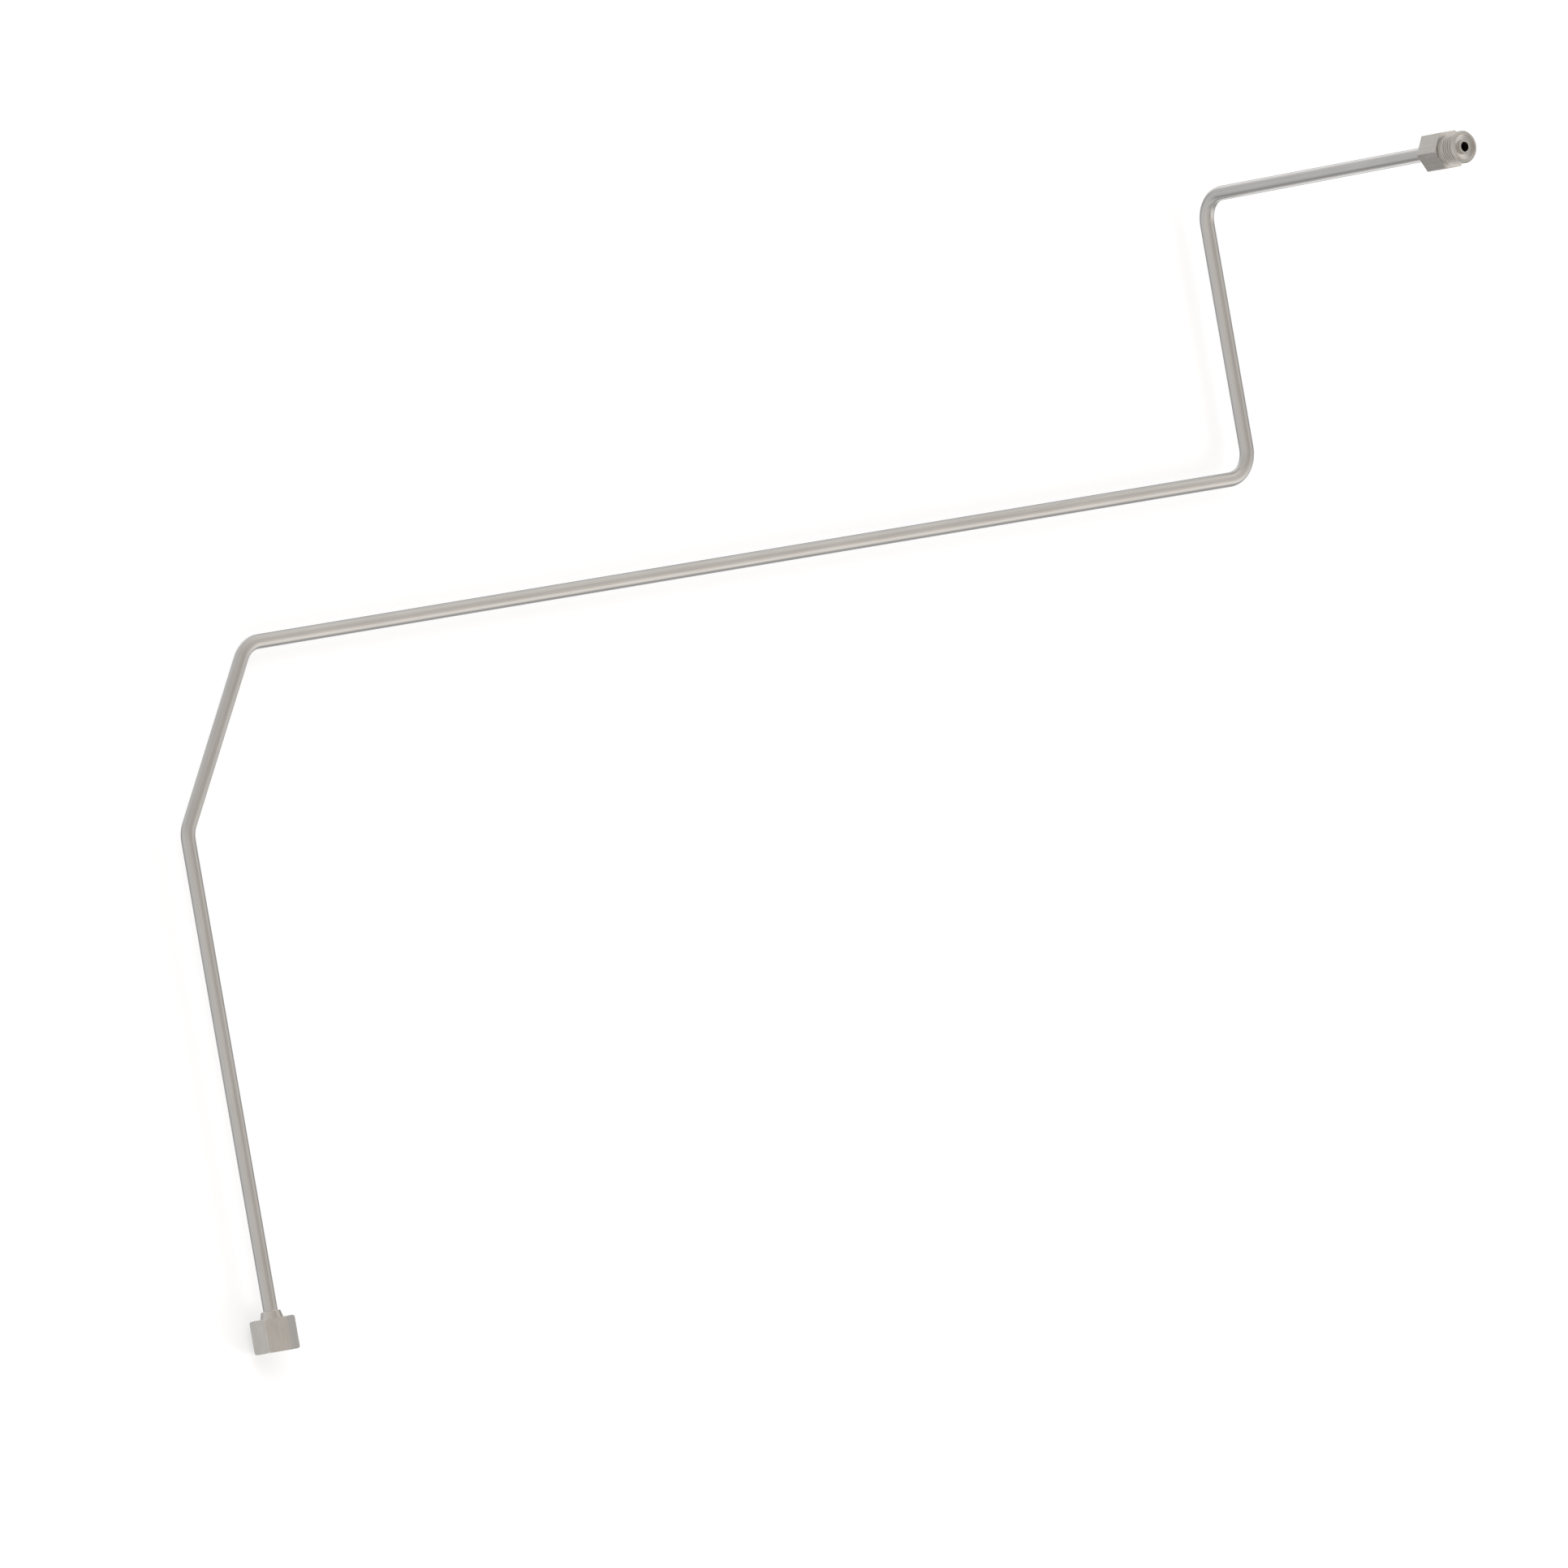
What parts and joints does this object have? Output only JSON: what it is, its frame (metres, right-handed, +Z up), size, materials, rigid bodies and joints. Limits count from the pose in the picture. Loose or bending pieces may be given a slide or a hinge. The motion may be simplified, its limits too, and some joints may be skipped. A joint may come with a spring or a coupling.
{
  "type": "brake line",
  "caption": "Rigid bent steel brake line with a male flat-face connector brazed to one end and a swivel nut on a brazed sleeve at the other.",
  "frame": {"origin": "centre of the sleeve's flat sealing face, inside the swivel nut", "axes": "+Y from that face up the first leg of the tube, +X along the longest leg towards the connector's side, +Z up the last leg and out of the connector's thread"},
  "size_m": [0.6503, 0.4354, 0.188],
  "materials": {
    "tube_steel": "satin",
    "connector_steel": "satin, turned",
    "sleeve_steel": "satin, turned",
    "nut_steel": "satin"
  },
  "bodies": {
    "line": {"tube": "tube_steel", "male_connector": "connector_steel", "sleeve": "sleeve_steel"},
    "nut": {"swivel_nut": "nut_steel"}
  },
  "joints": [
    {"name": "nut_swivel", "type": "hinge", "parent": "line", "child": "nut", "pos_m": [0, 0, 0], "axis": [0, 1, 0], "continuous": true}
  ]
}
